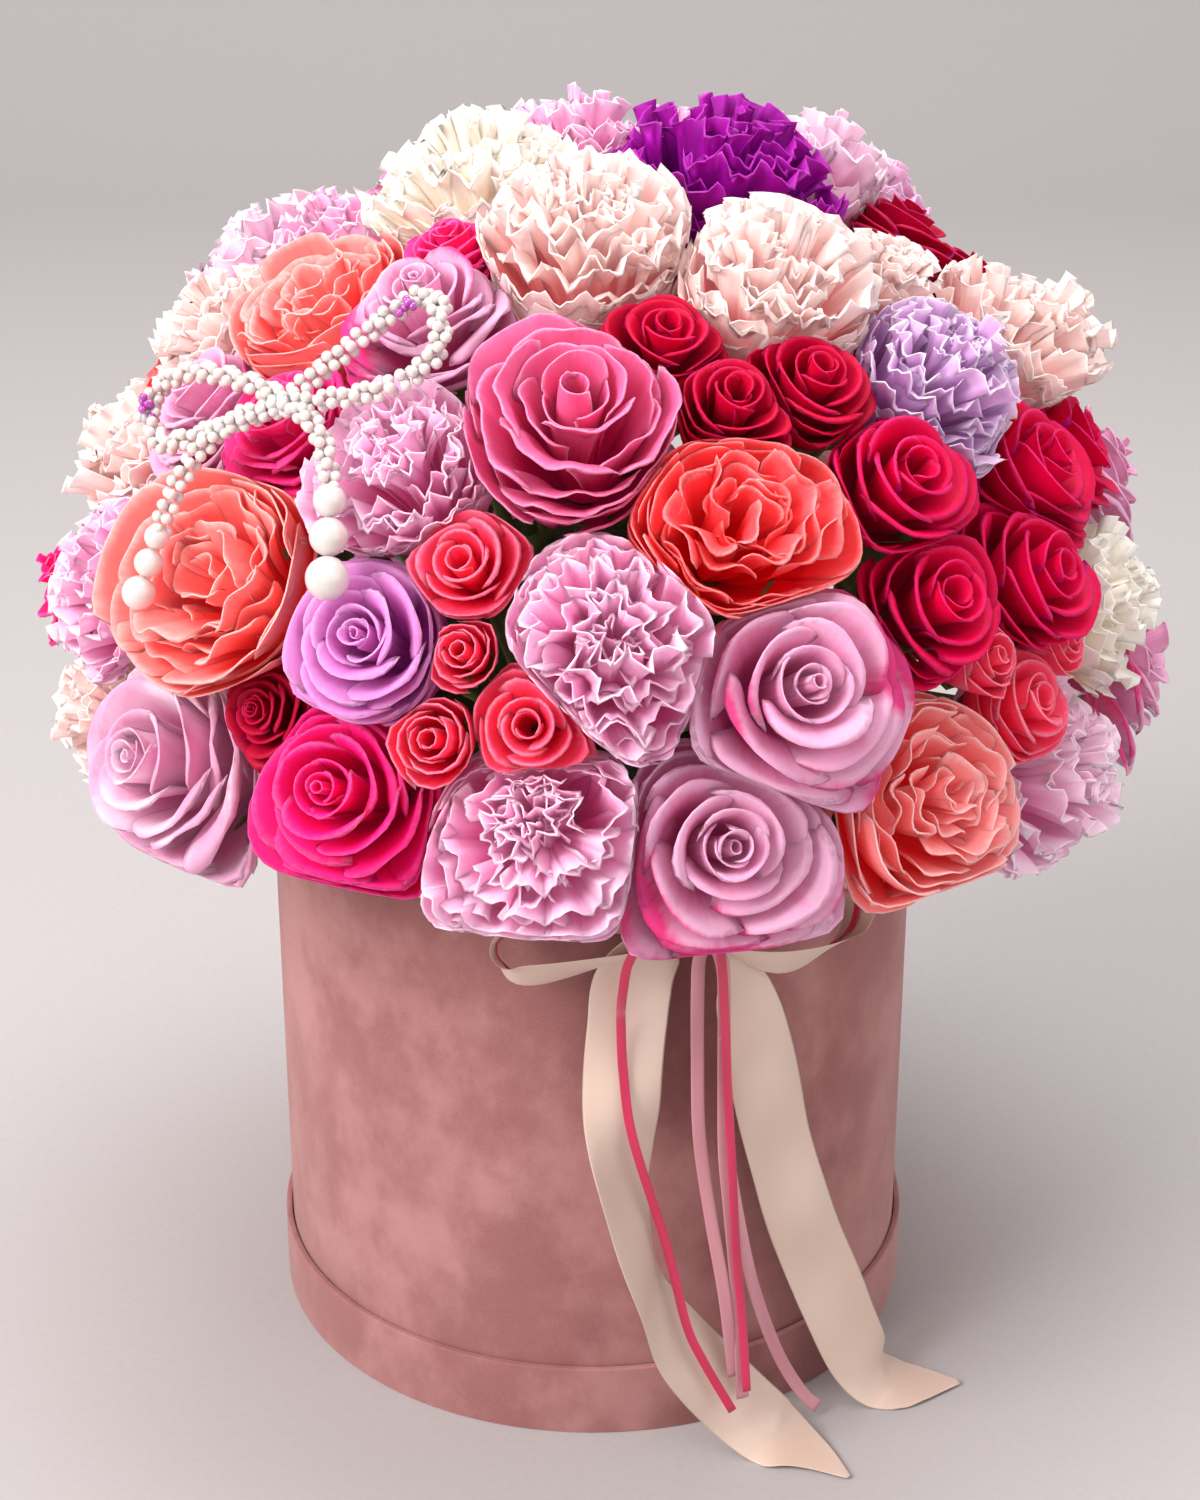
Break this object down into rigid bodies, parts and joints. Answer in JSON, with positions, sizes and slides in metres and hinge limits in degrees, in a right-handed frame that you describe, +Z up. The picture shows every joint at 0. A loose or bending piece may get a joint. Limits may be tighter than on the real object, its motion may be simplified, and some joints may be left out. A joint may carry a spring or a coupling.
{
  "type": "flower hat box",
  "caption": "Round velvet hat box filled with a dome of roses, carnations and spray roses, with a satin ribbon bow in front and a pearl bow on the blooms.",
  "frame": {"origin": "centre of the base tray's underside, on the surface it stands on", "axes": "+Z up through the box; -Y is the front, with the ribbon bow; +X is to the right seen from the front"},
  "size_m": [0.3688, 0.3722, 0.4152],
  "materials": {
    "velvet": "matt dusty-rose velvet over card",
    "liner": "thin milky film",
    "foam": "wet dark-green open-cell foam",
    "satin": "cream satin",
    "pink_ribbon": "pale pink satin",
    "magenta_ribbon": "magenta satin",
    "pearl": "pearl lustre",
    "petal_lilac": null,
    "petal_cream": null,
    "petal_purple": null,
    "petal_blush": null,
    "petal_pale_lilac": null,
    "petal_dusty": null,
    "petal_blue": null,
    "petal_coral": null,
    "petal_mauve": null,
    "petal_peach": null,
    "petal_rose_lilac": null,
    "petal_violet": null,
    "petal_hot": null,
    "petal_silver": null,
    "petal_magenta": null,
    "petal_rose_pink": null,
    "petal_crimson": null,
    "petal_red": null,
    "petal_hot_red": null,
    "petal_coral_pink": null
  },
  "bodies": {
    "root": {"base_tray": "velvet", "hat_box": "velvet", "water_liner": "liner", "floral_foam": "foam", "satin_bow": "satin", "pink_ribbon": "pink_ribbon", "magenta_ribbon": "magenta_ribbon", "pearl_bow": "pearl", "carnation_lilac_top": "petal_lilac", "carnation_white": "petal_cream", "carnation_purple": "petal_purple", "carnation_blush_front": "petal_blush", "carnation_blush_right": "petal_blush", "carnation_lilac_top_right": "petal_pale_lilac", "carnation_dusty_top": "petal_dusty", "carnation_blue": "petal_blue", "carnation_blush_far_right": "petal_blush", "carnation_lilac_upper_right": "petal_dusty", "carnation_blush_small": "petal_blush", "carnation_cream_right": "petal_cream", "carnation_lilac_right_low": "petal_pale_lilac", "carnation_lilac_centre": "petal_lilac", "carnation_lilac_low": "petal_lilac", "carnation_lilac_left": "petal_lilac", "carnation_lilac_left_edge": "petal_lilac", "carnation_blush_left_edge": "petal_blush", "carnation_blush_upper_left": "petal_blush", "carnation_lilac_upper_left": "petal_lilac", "carnation_blush_low_left": "petal_blush", "garden_coral_upper_left": "petal_coral", "garden_mauve": "petal_mauve", "garden_coral_centre": "petal_coral", "garden_peach": "petal_peach", "garden_coral_left": "petal_coral", "rose_lilac_upper_left": "petal_rose_lilac", "rose_lilac_right_edge": "petal_rose_lilac", "rose_lilac_right_low": "petal_rose_lilac", "rose_lilac_centre": "petal_rose_lilac", "rose_lilac_low": "petal_rose_lilac", "rose_violet": "petal_violet", "rose_hot": "petal_hot", "rose_silver": "petal_silver", "rose_magenta": "petal_magenta", "rose_lilac_small": "petal_rose_lilac", "rose_pink_left_edge": "petal_hot", "rose_pink_top": "petal_rose_pink", "rose_magenta_top": "petal_magenta", "rose_crimson_low": "petal_crimson", "spray_red": "petal_red", "spray_hot_front": "petal_hot_red", "spray_hot_right": "petal_hot_red", "spray_coral_right": "petal_coral_pink", "spray_coral_left": "petal_coral_pink", "spray_crimson": "petal_crimson", "carnations_back_right": "petal_lilac", "roses_back_right": "petal_hot", "carnations_back_middle": "petal_blush", "roses_back_middle": "petal_rose_lilac", "carnations_back_left": "petal_pale_lilac", "roses_back_left": "petal_coral"}
  },
  "joints": []
}
